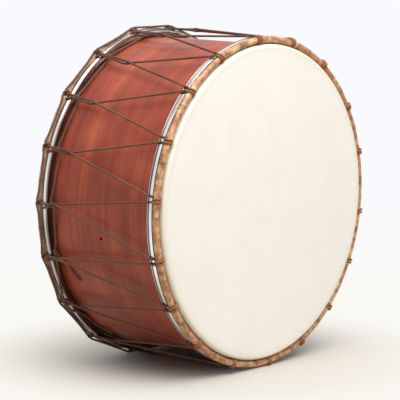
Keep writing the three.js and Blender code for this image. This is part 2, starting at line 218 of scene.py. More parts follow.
def shell_mesh():
    """Turns the shell's outline about the axis. Its back edge is an arc, and its front edge, under the head,
    a bevel. Lines cross in a square patch round the vent, where a point at p moves to (1-t) r p/|p| + t p. As
    t goes from 0 on a square half as wide to 1 at the edge, that square becomes the hole of radius r."""
    inside = shell_radius - shell_wall
    bevel = shell_wall - edge_round
    patch = np.linspace(-vent_patch, vent_patch, vent_lines)
    corners = [
        (shell_radius, -shell_reach), (shell_radius, shell_reach), (inside + bevel, shell_reach),
        (inside, shell_reach - bevel), (inside, bevel - shell_reach),
    ]
    edges = softened(corners[:3], [edge_round, edge_round, 0], edge_steps)
    front_edge, back_edge = edges[:edge_steps], edges[edge_steps : 2 * edge_steps]
    outline = np.concatenate([
        front_edge, np.stack([0 * patch + shell_radius, vent_reach + patch], 1), back_edge,
        corners[3:4], np.stack([0 * patch + inside, vent_reach + patch[::-1]], 1), corners[4:5],
    ])
    plain = np.linspace(0, 2 * math.pi, turn_lines, endpoint=False)
    plain = plain[np.abs(plain - vent_angle) > vent_patch / shell_radius * vent_margin]
    angles = np.sort(np.concatenate([plain, vent_angle + patch / shell_radius]))
    first = int(np.searchsorted(angles, vent_angle + patch[0] / shell_radius - tiny))
    columns = len(angles)
    angle = np.tile(angles, (len(outline), 1))
    reach = np.tile(outline[:, 1:], (1, columns))
    across, along = np.meshgrid(patch, patch)
    square = np.maximum(np.abs(across), np.abs(along))
    length = np.maximum(np.hypot(across, along), tiny)
    t = np.clip(square / vent_patch * 2 - 1, 0, 1)
    mouth = vent_radius + vent_chamfer
    moved_across = (1 - t) * mouth * across / length + t * across
    moved_along = (1 - t) * mouth * along / length + t * along
    outer_rows = slice(edge_steps, edge_steps + vent_lines)
    inner_start = 2 * edge_steps + vent_lines + 1
    inner_rows = slice(inner_start, inner_start + vent_lines)
    patch_columns = slice(first, first + vent_lines)
    angle[outer_rows, patch_columns] = vent_angle + moved_across / shell_radius
    reach[outer_rows, patch_columns] = vent_reach + moved_along
    angle[inner_rows, patch_columns] = vent_angle + moved_across[::-1] / shell_radius
    reach[inner_rows, patch_columns] = vent_reach + moved_along[::-1]
    points = around(outline[:, :1], reach, angle).reshape(-1, 3)

    faces = grid_faces(len(outline), columns)
    quarter, half = vent_lines // 4, vent_lines // 2
    row, column = faces[:, 0] // columns, faces[:, 0] % columns
    in_columns = (column >= first + quarter) & (column < first + quarter + half)
    in_outer = (row >= outer_rows.start + quarter) & (row < outer_rows.start + quarter + half)
    in_inner = (row >= inner_rows.start + quarter) & (row < inner_rows.start + quarter + half)
    faces = faces[~(in_columns & (in_outer | in_inner))]

    low, high = quarter, quarter + half
    side = np.arange(half)
    ring_rows = np.concatenate([0 * side + low, low + side, 0 * side + high, high - side])
    ring_columns = np.concatenate([low + side, 0 * side + high, high - side, 0 * side + low])
    outer_ring = (outer_rows.start + ring_rows) * columns + first + ring_columns
    inner_ring = (inner_rows.stop - 1 - ring_rows) * columns + first + ring_columns
    direction = np.stack([across[ring_rows, ring_columns], along[ring_rows, ring_columns]], 1)
    direction /= np.linalg.norm(direction, axis=1)[:, None]
    bore_reach = vent_reach + vent_radius * direction[:, 1]
    bore_angle = vent_angle + vent_radius * direction[:, 0] / shell_radius
    bore_radii = (shell_radius - vent_chamfer, inside + vent_chamfer)
    bore = [around(radius, bore_reach, bore_angle) for radius in bore_radii]
    bore_rings = len(points) + np.arange(2 * len(ring_rows)).reshape(2, -1)
    rings = np.stack([outer_ring, *bore_rings, inner_ring])
    ahead = np.roll(rings, -1, 1)
    bore_faces = np.stack([rings[:-1], ahead[:-1], ahead[1:], rings[1:]], -1).reshape(-1, 4)
    return np.concatenate([points, *bore]), [faces, bore_faces]


# Varnished maple: the stain sinks into the grain, which runs round the shell, so its lines, 2.4 mm apart, and
# the darker bands, some 26 mm wide, follow the curve. A satin-gloss varnish over it shows soft reflections.
maple, surface = material("stained_maple")
place = add(maple, "ShaderNodeTexCoord").outputs["Object"]
lines = add(maple, "ShaderNodeMapping", {"Vector": place, "Scale": (5, 420, 5)}).outputs["Vector"]
bands = add(maple, "ShaderNodeMapping", {"Vector": place, "Scale": (2.2, 38, 2.2)}).outputs["Vector"]
grain = add(maple, "ShaderNodeTexNoise", {"Vector": lines, "Scale": 1.0, "Detail": 5.0, "Roughness": 0.6})
band = add(maple, "ShaderNodeTexNoise", {"Vector": bands, "Scale": 1.0, "Detail": 3.0, "Roughness": 0.55})
figure = add(maple, "ShaderNodeTexNoise", {"Vector": place, "Scale": 16.0, "Detail": 3.0})
mixed = weighed(
    maple, (grain.outputs["Fac"], grain_share), (band.outputs["Fac"], band_share),
    (figure.outputs["Fac"], figure_share),
)
stain = add(
    maple, "ShaderNodeValToRGB", {"Fac": mixed},
    stops=[(0.32, colour("6f2c19")), (0.5, colour("994129")), (0.66, colour("b95a3a"))],
)
# Painted shade darkens the shell beside each flesh hoop, most at the back: the shadows of the hoops and the
# rim rope, and dark reflections of the hoops in the varnish. The ramp's places are shares of the way from the
# front hoop to the back one.
reach = add(maple, "ShaderNodeSeparateXYZ", {0: place}).outputs["Y"]
reach = add(
    maple, "ShaderNodeMapRange", {"Value": reach, "From Min": -shade_ramp_reach, "From Max": shade_ramp_reach},
).outputs[0]
hoop_shade_ramp = add(
    maple, "ShaderNodeValToRGB", {"Fac": reach},
    stops=[
        (0.01, 0.35), (0.035, 0.1), (0.045, 0.5), (0.056, 0.0),
        (0.93, 0.0), (0.945, 0.15), (0.953, 0.35), (0.966, 0.3), (0.98, 0.2), (0.99, 0.4),
    ],
)
stain_and_shade = add(
    maple, "ShaderNodeMix",
    {mix_share: hoop_shade_ramp.outputs["Color"], mix_from: stain.outputs["Color"], mix_to: colour("35130b")},
    data_type="RGBA",
).outputs[mix_result]
gloss = add(maple, "ShaderNodeMapRange", {"Value": band.outputs["Fac"], "To Min": 0.42, "To Max": 0.55})
relief = add(maple, "ShaderNodeBump", {"Height": mixed, "Strength": 0.12, "Distance": 0.0006})
feed(maple, surface, Base_Color=stain_and_shade, Roughness=gloss.outputs[0], Normal=relief.outputs[0])
surface.inputs["Specular IOR Level"].default_value = 0.34
surface.inputs["Coat Weight"].default_value = 0.15
surface.inputs["Coat Roughness"].default_value = 0.08

vertices, faces = shell_mesh()
dress(mesh_object("drum_shell", vertices, faces), maple, "shell_wood", "shell")

# Inner hoops: flat strips of the same wood, left bare, bent round and glued inside the shell's two edges.
# They stay as the frame has them, because nothing shows them once the heads are on.
# Bare bent wood: planed and unvarnished, so it is pale and dull, with grain lines 2 mm apart.
bare_wood, surface = material("bare_bent_wood")
place = add(bare_wood, "ShaderNodeTexCoord").outputs["Object"]
lines = add(bare_wood, "ShaderNodeMapping", {"Vector": place, "Scale": (8, 500, 8)}).outputs["Vector"]
grain = add(bare_wood, "ShaderNodeTexNoise", {"Vector": lines, "Scale": 1.0, "Detail": 4.0})
tone = add(
    bare_wood, "ShaderNodeValToRGB", {"Fac": grain.outputs["Fac"]},
    stops=[(0.35, colour("a37a4c")), (0.65, colour("cba473"))],
)
relief = add(
    bare_wood, "ShaderNodeBump", {"Height": grain.outputs["Fac"], "Strength": 0.2, "Distance": 0.0004},
)
feed(bare_wood, surface, Base_Color=tone.outputs["Color"], Normal=relief.outputs[0])
surface.inputs["Roughness"].default_value = 0.7
for end in ("front", "back"):
    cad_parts[f"{end}_inner_hoop"].material_slots[0].material = bare_wood

# Heads: polyester film with a cream-white coating, formed hot with a rounded shoulder and a collar. Each one
# is pulled down over the shell's edge, and its rim is folded into the flesh hoop.
clearance = 0.0003
film = 0.0005
shoulder = 0.006
face_reach = shell_reach + clearance + film
film_inside = shell_radius + clearance
film_outside = film_inside + film
rim_tuck = 0.007
tuck_inside = 0.2826
fold_reach = 0.123695
tuck_round = 0.0002
fold_round = 0.0004
flat_start = 0.05
film_steps = 12
rim_shade_start = 0.262
rim_shade_full = 0.278


def head_mesh(side):
    """Turns the film's outline about the axis, from the middle of its inner face out over the shoulder, down
    the collar, round the fold and back to the middle of its outer face. The two middles are single points."""
    corners = [
        (flat_start, face_reach - film), (film_inside, face_reach - film),
        (film_inside, fold_reach - film), (tuck_inside, fold_reach - film),
        (tuck_inside, fold_reach - rim_tuck), (tuck_inside + film, fold_reach - rim_tuck),
        (tuck_inside + film, fold_reach), (film_outside, fold_reach),
        (film_outside, face_reach), (flat_start, face_reach),
    ]
    rounds = [0, shoulder - film, 0, 0, tuck_round, tuck_round, fold_round, fold_round, shoulder, 0]
    outline = softened(corners, rounds, film_steps) * (1, side)
    middles = np.array([(0, side * (face_reach - film), axis_height), (0, side * face_reach, axis_height)])
    if side < 0:
        outline, middles = outline[::-1], middles[::-1]
    angles = np.linspace(0, 2 * math.pi, turn_lines, endpoint=False)
    points = around(outline[:, :1], outline[:, 1:], angles).reshape(-1, 3)
    faces = grid_faces(len(outline), turn_lines, wrap_rows=False)
    first_ring, last_ring = np.arange(turn_lines), len(points) - turn_lines + np.arange(turn_lines)
    first_middle = 0 * first_ring + len(points)
    opening_fan = np.stack([first_middle, np.roll(first_ring, -1), first_ring], -1)
    closing_fan = np.stack([last_ring, np.roll(last_ring, -1), first_middle + 1], -1)
    return np.concatenate([points, middles]), [faces, opening_fan, closing_fan]


# Coated film: almost even, with a faint cloudiness from the sprayed coating and a soft, dull sheen.
film_coat, surface = material("coated_polyester_film")
place = add(film_coat, "ShaderNodeTexCoord").outputs["Object"]
cloud = add(
    film_coat, "ShaderNodeTexNoise", {"Vector": place, "Scale": 14.0, "Detail": 4.0, "Roughness": 0.55},
)
tone = add(
    film_coat, "ShaderNodeValToRGB", {"Fac": cloud.outputs["Fac"]},
    stops=[(0.3, colour("f2eee5")), (0.7, colour("f6f2ea"))],
)
# Painted shade: the film is made darker and yellower towards its rim, over the rounded shoulder where it is
# bent over the shell's edge.
rim = add(film_coat, "ShaderNodeVectorMath", {0: place, 1: (1, 0, 1)}, operation="MULTIPLY").outputs[0]
rim = add(
    film_coat, "ShaderNodeVectorMath", {0: rim, 1: (0, 0, axis_height)}, operation="SUBTRACT",
).outputs[0]
rim = add(film_coat, "ShaderNodeVectorMath", {0: rim}, operation="LENGTH").outputs["Value"]
rim = add(
    film_coat, "ShaderNodeMapRange",
    {"Value": rim, "From Min": rim_shade_start, "From Max": rim_shade_full, "To Max": 0.4},
).outputs[0]
tone = add(
    film_coat, "ShaderNodeMix", {mix_share: rim, mix_from: tone.outputs["Color"], mix_to: colour("d9cfae")},
    data_type="RGBA",
).outputs[mix_result]
# Coating grit of about 0.5 mm, the coarsest that such a coating has, so that it shows close to.
grit = add(film_coat, "ShaderNodeTexNoise", {"Vector": place, "Scale": 2000.0, "Detail": 2.0})
relief = add(
    film_coat, "ShaderNodeBump", {"Height": grit.outputs["Fac"], "Strength": 0.06, "Distance": 0.0002},
)
feed(film_coat, surface, Base_Color=tone, Normal=relief.outputs[0])
surface.inputs["Roughness"].default_value = 0.5
surface.inputs["IOR"].default_value = 1.5

for end, side in (("front", -1), ("back", 1)):
    vertices, faces = head_mesh(side)
    dress(mesh_object(f"{end}_film_head", vertices, faces), film_coat, "film", f"{end}_head")

# Flesh hoops: aluminium strip rolled to a channel, with a bead line pressed into its outer wall, bent to a
# ring and polished. The channel's mouth takes the film's rim, and the rope pulls the cane hoop down on it.
channel_inside = 0.2813
channel_width = 0.0098
channel_height = 0.01
channel_wall = 0.001
channel_round = 0.002
channel_steps = 7
hoop_lines = 720
groove_round = 0.0006
lip_round = 0.0004
trough_round = 0.001
outer_lip = 0.123581
inner_lip = 0.122895
groove_width = 0.0032
groove_depth = 0.0012
groove_reach = outer_lip - 0.0062
lip_rise = 0.0015
shaded_wall_height = 0.0066
base_outer_strip = 0.003


def channel_outline():
    """The channel's cross-section as (radius, reach) pairs, up its outer wall and back down its trough."""
    outside = channel_inside + channel_width
    base = outer_lip - channel_height
    floor = base + channel_wall
    corners = [
        (channel_inside, base), (outside - base_outer_strip, base), (outside, base),
        (outside, groove_reach - groove_width / 2), (outside - groove_depth, groove_reach),
        (outside, groove_reach + groove_width / 2), (outside, base + shaded_wall_height),
        (outside, outer_lip + lip_rise), (outside - channel_wall, outer_lip + lip_rise),
        (outside - channel_wall, floor), (channel_inside + channel_wall, floor),
        (channel_inside + channel_wall, inner_lip), (channel_inside, inner_lip),
    ]
    rounds = [
        channel_round, 0, channel_round, *[groove_round] * 3, 0, *[lip_round] * 2, *[trough_round] * 2,
        *[lip_round] * 2,
    ]
    return softened(corners, rounds, channel_steps)


def mark(piece, name, values, kind="FLOAT"):
    """Gives each point of a piece the number or vector that its material reads under a name."""
    marks = piece.data.attributes.new(name, kind, "POINT")
    marks.data.foreach_set("value" if kind == "FLOAT" else "vector", values.astype(np.float32).ravel())


# Polished aluminium: bright, with fine marks round the hoop from rolling and buffing, about 0.2 mm apart and
# drawn at 0.5 mm to show. It is tarnished in patches, and painted dark for shade and dark reflections where
# the hoops are marked.
aluminium, surface = material("polished_aluminium")
place = add(aluminium, "ShaderNodeTexCoord").outputs["Object"]
marks = add(aluminium, "ShaderNodeMapping", {"Vector": place, "Scale": (12, 2000, 12)}).outputs["Vector"]
buffing = add(aluminium, "ShaderNodeTexNoise", {"Vector": marks, "Scale": 1.0, "Detail": 3.0})
dulling = add(aluminium, "ShaderNodeTexNoise", {"Vector": place, "Scale": 45.0, "Detail": 3.0})
gloss = add(
    aluminium, "ShaderNodeMapRange", {"Value": dulling.outputs["Fac"], "To Min": 0.12, "To Max": 0.28},
)
relief = add(
    aluminium, "ShaderNodeBump", {"Height": buffing.outputs["Fac"], "Strength": 0.05, "Distance": 0.0002},
)
hoop_shade = add(aluminium, "ShaderNodeAttribute", attribute_name="hoop_shade").outputs["Fac"]
tarnish = add(aluminium, "ShaderNodeTexNoise", {"Vector": place, "Scale": 8.0, "Detail": 2.0}).outputs["Fac"]
tarnish = add(
    aluminium, "ShaderNodeMapRange", {"Value": tarnish, "From Min": 0.46, "From Max": 0.58, "To Max": 0.75},
).outputs[0]
tone = colour("f6f3f0")
for share, dull in ((tarnish, colour("bdb1a4")), (hoop_shade, colour("4a302a"))):
    tone = add(
        aluminium, "ShaderNodeMix", {mix_share: share, mix_from: tone, mix_to: dull}, data_type="RGBA",
    ).outputs[mix_result]
feed(aluminium, surface, Base_Color=tone, Roughness=gloss.outputs[0], Normal=relief.outputs[0])
surface.inputs["Metallic"].default_value = 1.0

# Painted shade and dark reflections lie in the front hoop's groove and on the back hoop's base and inner
# half, as shares at distances from the base. Near the top the base's painted shade is mostly taken off: past
# an angle whose cosine is hoop_top, a tenth is left.
hoop_angles = np.linspace(0, 2 * math.pi, hoop_lines, endpoint=False)
hoop_shade_steps = [0, 0.0018, 0.0028, 0.0054, shaded_wall_height]
hoop_shade_levels = {"front": [0.25, 0.3, 0.9, 0.9, 0.0], "back": [0.92, 0.68, 0.44, 0.14, 0.0]}
base_shade = {"front": 0.1, "back": 0.7}
hoop_top = 0.95
top_fade = 4
top_share = 0.1
for end, side in (("front", -1), ("back", 1)):
    outline = channel_outline() * (1, side)
    outline = outline[::-1] if side < 0 else outline
    vertices = around(outline[:, :1], outline[:, 1:], hoop_angles).reshape(-1, 3)
    faces = [grid_faces(len(outline), len(hoop_angles))]
    piece = mesh_object(f"{end}_channel_hoop", vertices, faces)
    from_base = side * outline[:, 1] - (outer_lip - channel_height)
    on_base = outline[:, 0] <= channel_inside + channel_width - base_outer_strip
    dark = np.where(on_base, base_shade[end], np.interp(from_base, hoop_shade_steps, hoop_shade_levels[end]))
    base_shade_by_angle = np.clip((hoop_top - np.cos(hoop_angles)) * top_fade, top_share, 1)
    dark = dark[:, None] * np.where(on_base[:, None], base_shade_by_angle, 1)
    mark(piece, "hoop_shade", dark)
    dress(piece, aluminium, "hoop_metal", f"{end}_flesh_hoop")

# Cane hoops: a stick of rattan about 12 mm thick, bent to a ring with its scarfed ends under a tie. It keeps
# the natural stick's slight waviness and its ring-like nodes, and the rope goes round it.
cane_radius = 0.006
cane_ring = 0.286725
cane_reach = 0.1313
node_gap = 0.0024
node_height = 0.00035
node_dark = 0.8
fibre_share = 0.3
blotch_share = 0.7
fibre_drift = (0.05, 0.05, 0.05)
ring_lines = 1080
stick_lines = 20
waviness = 0.009
wave_phase = {-1: 0.4, 1: 1.7}
seat_shade_depth = 1.3
seat_shade_facing = -1.75
highlight_facing = 0.4
highlight_level = 0.6
highlight_rise = 1.2
seat_shade_share = 0.85
highlight_share = 0.4
cane_nodes = {
    "front": [
        4.5, 27.3, 51.8, 68.1, 87.6, 110.2, 131, 147.4, 170.9,
        191.6, 208.3, 230.4, 246.9, 271.1, 289.8, 311, 328, 349.6,
    ],
    "back": [
        13.2, 36.9, 57.2, 81.4, 97.1, 119.6, 141.3, 156.6, 178.4,
        203.2, 219.9, 240.1, 262.6, 279.3, 303.4, 318.8, 341.7,
    ],
}


def cane_mesh(side, nodes):
    """A ring swept by a near-circle: at angle a round the ring and b round the stick the section's radius is
    r (1 + three slow waves in a, b) + h exp(-(d/g)^2), where d is the distance to the nearest node. The back
    ring gets painted shade on the side towards the drum's middle, next to the channel, and a painted
    highlight on its outer side near the top."""
    ring = np.linspace(0, 2 * math.pi, ring_lines, endpoint=False)[None, :]
    section = np.linspace(0, 2 * math.pi, stick_lines, endpoint=False)[:, None]
    phase = wave_phase[side]
    waves = np.sin(7 * ring + phase) + np.sin(16 * ring + section + 2 * phase) + np.sin(29 * ring - section)
    away = np.degrees(ring)[..., None] - np.array(nodes)
    away = np.abs((away + 180) % 360 - 180).min(-1) * math.radians(1) * cane_ring
    radius = cane_radius * (1 + waviness * waves) + node_height * np.exp(-((away / node_gap) ** 2))
    out, beyond = radius * np.cos(section), radius * np.sin(section)
    points = around(cane_ring + out, side * (cane_reach + beyond), ring)
    fibre = np.stack(np.broadcast_arrays(np.cos(section), np.sin(section), 0 * ring), -1) * cane_radius
    # Painted shade on the back ring's side towards the channel, and a painted highlight on its outer side
    # near the top.
    seat_shade = np.clip(seat_shade_depth * np.cos(section - seat_shade_facing), 0, 1) * (side > 0)
    highlight = np.clip(np.cos(section - highlight_facing), 0, 1) ** 2 * (side > 0)
    highlight = highlight * np.clip(highlight_level + highlight_rise * np.cos(ring), 0, 1)
    shading_and_tone = highlight - seat_shade - node_dark * np.exp(-((away / node_gap) ** 2))
    return points, fibre, shading_and_tone


# Rattan: straw to reddish brown in blotches, darker at each node, with fine fibre lines along the stick,
# drawn 0.9 mm apart to show, and a thin coat of varnish. The lines read the stick's own cross-section, so
# that they follow the ring.
rattan, surface = material("varnished_rattan")
place = add(rattan, "ShaderNodeTexCoord").outputs["Object"]
fibre = add(rattan, "ShaderNodeAttribute", attribute_name="stick_section").outputs["Vector"]
slow = add(rattan, "ShaderNodeVectorMath", {0: place, 1: fibre_drift}, operation="MULTIPLY").outputs[0]
fibre = add(rattan, "ShaderNodeVectorMath", {0: fibre, 1: slow}, operation="ADD").outputs[0]
lines = add(rattan, "ShaderNodeTexNoise", {"Vector": fibre, "Scale": 1100.0, "Detail": 3.0})
shading_and_tone = add(rattan, "ShaderNodeAttribute", attribute_name="cane_shading_and_nodes").outputs["Fac"]
blotch = add(rattan, "ShaderNodeTexNoise", {"Vector": place, "Scale": 75.0, "Detail": 4.0, "Roughness": 0.65})
blush = add(rattan, "ShaderNodeTexNoise", {"Vector": place, "Scale": 23.0, "Detail": 2.0})
mixed = weighed(rattan, (lines.outputs["Fac"], fibre_share), (blotch.outputs["Fac"], blotch_share))
straw = add(
    rattan, "ShaderNodeValToRGB", {"Fac": mixed},
    stops=[
        (0.38, colour("65391e")), (0.46, colour("a86e41")),
        (0.54, colour("cb9a62")), (0.63, colour("e8cfa8")),
    ],
)
red = add(rattan, "ShaderNodeValToRGB", {"Fac": blush.outputs["Fac"]}, stops=[(0.48, 0.0), (0.62, 0.5)])
tone = add(
    rattan, "ShaderNodeMix",
    {mix_share: red.outputs["Color"], mix_from: straw.outputs["Color"], mix_to: colour("b5714f")},
    data_type="RGBA",
).outputs[mix_result]
# Above zero the cane gets a painted highlight. Below zero it gets painted shade, or is darker at a node.
for share, shading_tone in ((highlight_share, colour("ecd9bf")), (-seat_shade_share, colour("6b4227"))):
    part = add(rattan, "ShaderNodeMath", {0: shading_and_tone, 1: share}, operation="MULTIPLY", use_clamp=True).outputs[0]
    tone = add(
        rattan, "ShaderNodeMix", {mix_share: part, mix_from: tone, mix_to: shading_tone}, data_type="RGBA",
    ).outputs[mix_result]
relief = add(rattan, "ShaderNodeBump", {"Height": mixed, "Strength": 0.3, "Distance": 0.0005})
feed(rattan, surface, Base_Color=tone, Normal=relief.outputs[0])
surface.inputs["Roughness"].default_value = 0.42
surface.inputs["Coat Weight"].default_value = 0.25
surface.inputs["Coat Roughness"].default_value = 0.25

for end, side in (("front", -1), ("back", 1)):
    points, fibre, shading_and_tone = cane_mesh(side, cane_nodes[end])
    if side < 0:
        points, fibre, shading_and_tone = points[::-1], fibre[::-1], shading_and_tone[::-1]
    faces = [grid_faces(*points.shape[:2])]
    piece = mesh_object(f"{end}_cane_ring", points.reshape(-1, 3), faces, sharp_above=180)
    mark(piece, "stick_section", fibre, "FLOAT_VECTOR")
    mark(piece, "cane_shading_and_nodes", shading_and_tone)
    dress(piece, rattan, "cane", f"{end}_cane_hoop")

# Lacing: one dark brown rope of three strands, about 4 mm thick, pulled in a zig-zag between the two cane
# hoops. It makes two turns at each front tie and a knot at each back tie, where a V's two strands cross once.
rope_diameter = 0.004
rope_strands = 3
lay_length = 0.013
lobe_depth = 0.2
pinched_thickness = 0.0018
pinched_width = 0.0046
strand_gap = 0.0005
lip_facing = math.radians(72)
over_lip_facing = math.radians(36)
over_lip_round = 0.3
swell = 1.2
swell_facing = math.pi / 4
tie_count = 18
tie_step = 360 / tie_count
front_pitch = 0.0052
front_turns = 1.75
farthest_crossing = 0.09
# Tone and painted shade at a front tie, back knot, next front tie and crossing: the front ties are lighter,
# and the knots and crossings painted darker as shade. Over the front flesh hoop's lip the rope is painted
# darker still.
kind_shading_and_tone = [0.75, -0.8, 0.75, -0.5]
lip_shade = -0.9
crossing_half = 0.007
pair_half = 0.00205
pair_close = 0.019
crossing_start = 0.0013
crossing_lift = 0.0021
fray_share = 0.35
groove_shade_weight = 0.4
patch_share = 0.3
shading_and_tone_share = 0.16
rope_sides = 15
rope_step = 0.001
front_shift = [
    -2.3, -3.1, -2.6, -0.5, -2.2, -0.2, -1.5, -1.9, -2.7, -3.1, -3, -1.5, -2, -3.8, -2.6, -2.4, -2.5, -3.8,
]
back_shift = [0.8, 0.6, 1.2, 0.4, 1, 0.3, 0.9, 0.5, -0.5, -0.5, 1.7, 3.3, 2.2, 0.9, 0.4, 0.3, 0.7, 1.1]
crossing_shift = [
    -1.6, -1.2, -0.8, -1.1, -0.4, -0.9, -0.2, 0.5, 0.3, -0.6, -0.5, -0.9, 0, 0.7, -0.7, -1.8, -3.1, -2.2,
]
crossing_shares = [
    0.83, 0.76, 0.7, 0.56, 0.66, 0.58, 0.5, 0.62, 0.7, 0.54, 0.6, 0.45, 0.4, 0.48, 0.69, 0.85, 1, 0.92,
]
back_angle = np.radians(tie_step * (np.arange(tie_count) + 0.5)) + np.radians(back_shift)
cane_gap = 0.0002
ride_middle = 0.0108
knot_squeeze = 0.3
knot_spread = 1.2
channel_outside = channel_inside + channel_width
strand_lift = channel_outside - cane_ring + strand_gap + rope_diameter / 2
lip_drop = cane_reach - outer_lip
lip_middle = channel_outside - channel_wall - cane_ring
clear_lip = clearance + pinched_thickness / 2


def stations():
    """The rope's centre line as stations of one V, for all 18 ties at once. A row is: the place it belongs to
    (0 front tie, 1 back knot, 2 next front tie, 3 crossing), then lengths from the cane's centre there along
    the hoop, out from the axis and in towards the drum's middle, the turn of its outer side, and its
    roundness from 0, pinched, to 1. A turn round the cane is (r cos f, r sin f) out and inward, with f the
    turns made times -2 pi. The rope is roundest half way between the hoop's outer side and its end, and
    pinched against the channel and the collar."""

    def turns(tie, count, along, rise):
        """Rows round the cane, at the turns made, places along the hoop and shares of a ride over itself."""
        facing = -2 * math.pi * np.array(count)
        ties = 0 * facing + tie
        roundness = np.clip(swell * np.cos(facing + swell_facing), 0, 1) * (knot_squeeze if tie == 1 else 1)
        roundness = np.maximum(roundness, rise)
        thickness = pinched_thickness + (rope_diameter - pinched_thickness) * roundness
        tight = cane_radius + cane_gap + thickness / 2
        away = tight + (ride_middle - tight) * np.array(rise)
        out, inward = away * np.cos(facing), away * np.sin(facing)
        return np.stack([ties, np.array(along), out, inward, facing, roundness], 1)

    def leaving(tie, along):
        """Rows from the cane over the channel's lip, where it is pinched, to a free, round strand."""
        at_lip = lip_drop - clear_lip
        return np.array([
            (tie, along, lip_middle, at_lip - clearance, lip_facing, 0),
            (tie, along, strand_lift - clear_lip, at_lip, over_lip_facing, over_lip_round),
            (tie, along, strand_lift, lip_drop + clear_lip, 0, 1),
        ])

    def front_along(count):
        """A front turn's place along the hoop: the turns made times their pitch, from the tie's middle."""
        return front_pitch * (count - front_turns / 2)

    # The knot's turns made, its place along the hoop in rope diameters, and how far it rides over itself
    knot = np.array([
        (0, 0.95, 0), (1 / 8, 1.1, 0), (2 / 8, 1.2, 0), (3 / 8, 1.3, 0), (4 / 8, 1.4, 0), (5 / 8, 1.6, 0),
        (6 / 8, 1.9, 0), (7 / 8, 2.15, 0.5), (15 / 16, 1.75, 1), (1, 0.95, 1), (17 / 16, 0, 0.35),
        (9 / 8, -0.8, 0), (10 / 8, -1.15, 0), (11 / 8, -1.25, 0), (12 / 8, -1.3, 0), (13 / 8, -1.3, 0),
        (14 / 8, -1.3, 0),
    ])
    arrival = lip_drop + clear_lip
    pair = np.array([
        (-pair_half, crossing_start, crossing_half), (0, crossing_lift, 0),
        (pair_half, crossing_start, -crossing_half),
    ])
    over = np.array([(3, side, strand_lift + lift, ahead, 0, 1) for side, lift, ahead in pair])
    under = np.array([(3, side, strand_lift + lift, ahead, 0, 1) for side, lift, ahead in pair * (1, -1, -1)])
    knot_along = knot[:, 1] * rope_diameter
    out_turns, in_turns = np.linspace(1, front_turns, 7), np.arange(8) / 8
    return [
        turns(0, out_turns, front_along(out_turns), 0),
        leaving(0, front_along(front_turns)),
        "strand",
        over,
        np.array([
            (1, pair_half, strand_lift, pair_close, 0, 1), (1, knot_along[0], strand_lift, arrival, 0, 1),
        ]),
        turns(1, knot[:, 0], knot_along, knot[:, 2]),
        leaving(1, knot_along[-1]),
        np.array([(1, -pair_half, strand_lift, pair_close, 0, 1)]),
        under,
        "strand",
        np.array([(2, front_along(0), strand_lift, arrival, 0, 1)]),
        turns(2, in_turns, front_along(in_turns), 0),
    ]


def route():
    """Centres, outward directions, thickness, width, and tone and painted shade of every station, as arrays
    of 18
    Vs. The long straight strands get points between, at shares of their length."""
    tie_angle = np.radians(tie_step * np.arange(tie_count + 1))
    tie_angle = tie_angle + np.radians(np.append(front_shift, front_shift[0]))
    crossing_angle = back_angle + np.radians(crossing_shift)
    angles = np.stack([tie_angle[:-1], back_angle, tie_angle[1:], crossing_angle], 1)
    crossing_reach = farthest_crossing * np.array(crossing_shares)
    blocks = []
    for rows in stations():
        if isinstance(rows, str):
            blocks.append(None)
            continue
        kind = rows[:, 0].astype(int)
        side = np.where(kind % 2 == 1, 1, -1)
        angle = angles[:, kind] + rows[:, 1] / cane_ring
        inward = rows[:, 3] + np.where(kind == 3, crossing_reach[:, None], 0)
        centre = around(cane_ring + rows[:, 2], side * (cane_reach - inward), angle)
        tilt = side * np.sin(rows[:, 4])
        level = np.cos(rows[:, 4])
        lift = np.stack(np.broadcast_arrays(level * np.sin(angle), -tilt, level * np.cos(angle)), -1)
        thickness = pinched_thickness + (rope_diameter - pinched_thickness) * rows[:, 5]
        width = pinched_width + (rope_diameter - pinched_width) * rows[:, 5]
        width = width * np.where(kind == 1, knot_spread, 1)
        # Painted shade darkens the rope at the knots, the crossings and over the front hoop's lip; the front
        # turns are lighter.
        shading_and_tone = np.array(kind_shading_and_tone)[kind] * np.where(rows[:, 3] > lip_drop - clear_lip - clearance, 0, 1)
        shading_and_tone = np.where((kind % 2 == 0) & (shading_and_tone == 0), lip_shade, shading_and_tone)
        sizes = np.broadcast_to(np.stack([thickness, width, shading_and_tone], 1), (tie_count, len(rows), 3))
        blocks.append(np.concatenate([centre, lift, sizes], -1))
    shares = np.array([0.03, 0.12, 0.25, 0.38, 0.5, 0.62, 0.75, 0.88, 0.97])
    for place in [i for i, block in enumerate(blocks) if block is None]:
        start, end = blocks[place - 1][:, -1:], blocks[place + 1][:, :1]
        blocks[place] = start + (end - start) * shares[None, :, None]
        blocks[place][..., 8] = 0
    return np.concatenate(blocks, 1)


